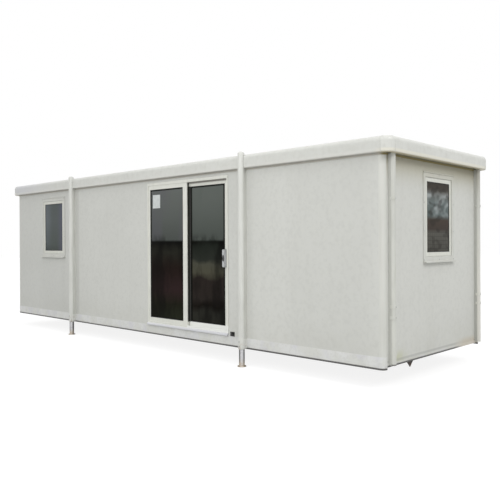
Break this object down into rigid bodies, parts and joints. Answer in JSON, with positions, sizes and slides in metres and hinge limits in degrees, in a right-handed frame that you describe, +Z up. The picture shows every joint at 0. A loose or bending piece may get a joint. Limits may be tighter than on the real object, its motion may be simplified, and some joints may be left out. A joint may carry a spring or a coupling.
{
  "type": "portable site cabin",
  "caption": "Flat-roofed portable site cabin with insulated panel walls, a rounded roof edge, a glazed sliding door, windows, downpipes and telescoping jack legs.",
  "frame": {"origin": "on the ground under the middle of the plan", "axes": "+X along the cabin to the right seen from the door side, +Y from the door side to the back, +Z up"},
  "size_m": [8.858, 2.6678, 2.835],
  "materials": {
    "wall_coating": "matte",
    "roof_edge": "satin",
    "roof_skin": "matte",
    "white_profile": "satin",
    "corner_metal": "satin",
    "base_paint": "matte",
    "leg_paint": "satin",
    "galvanised": "satin",
    "timber": "matte",
    "floor_board": "satin",
    "glazing": "gloss",
    "handle_metal": "satin",
    "pipe_plastic": "satin",
    "black_plastic": "matte",
    "dark_steel": "matte"
  },
  "bodies": {
    "cabin": {"base_rail_front": "base_paint", "base_rail_back": "base_paint", "base_rail_left": "base_paint", "base_rail_right": "base_paint", "base_corners": "base_paint", "floor_joists": "timber", "floor_deck": "floor_board", "front_wall_window_bay": "wall_coating", "front_wall_centre": "wall_coating", "front_wall_door_strip": "wall_coating", "front_wall_right_bay": "wall_coating", "front_wall_lintel": "wall_coating", "back_wall": "wall_coating", "left_end_wall": "wall_coating", "right_end_wall": "wall_coating", "corner_posts": "corner_metal", "roof_panel": "roof_skin", "fascia_front": "roof_edge", "fascia_back": "roof_edge", "fascia_left": "roof_edge", "fascia_right": "roof_edge", "fascia_corners": "roof_edge", "leg_brackets": "leg_paint", "leg_housings": "leg_paint", "leg_caps": "leg_paint", "door_head": "white_profile", "door_sill": "white_profile", "door_jamb_left": "white_profile", "door_jamb_right": "white_profile", "fixed_leaf": "white_profile", "fixed_leaf_glass": "glazing", "window_frames": "white_profile", "window_sashes": "white_profile", "window_panes": "glazing", "downpipes": "pipe_plastic", "service_inlet": "black_plastic", "end_lug": "dark_steel"},
    "sliding_door": {"sliding_leaf": "white_profile", "sliding_leaf_glass": "glazing", "door_handles": "handle_metal"},
    "leg_front_left": {"jack_leg_front_left": "galvanised"},
    "leg_front_right": {"jack_leg_front_right": "galvanised"},
    "leg_back_left": {"jack_leg_back_left": "galvanised"},
    "leg_back_right": {"jack_leg_back_right": "galvanised"}
  },
  "joints": [
    {"name": "door_slide", "type": "slide", "parent": "cabin", "child": "sliding_door", "axis": [-1, 0, 0], "range_m": [0, 0.735]},
    {"name": "leg_front_left_slide", "type": "slide", "parent": "cabin", "child": "leg_front_left", "axis": [0, 0, 1], "range_m": [-0.45, 0.21]},
    {"name": "leg_front_right_slide", "type": "slide", "parent": "cabin", "child": "leg_front_right", "axis": [0, 0, 1], "range_m": [-0.45, 0.21]},
    {"name": "leg_back_left_slide", "type": "slide", "parent": "cabin", "child": "leg_back_left", "axis": [0, 0, 1], "range_m": [-0.45, 0.21]},
    {"name": "leg_back_right_slide", "type": "slide", "parent": "cabin", "child": "leg_back_right", "axis": [0, 0, 1], "range_m": [-0.45, 0.21]}
  ]
}
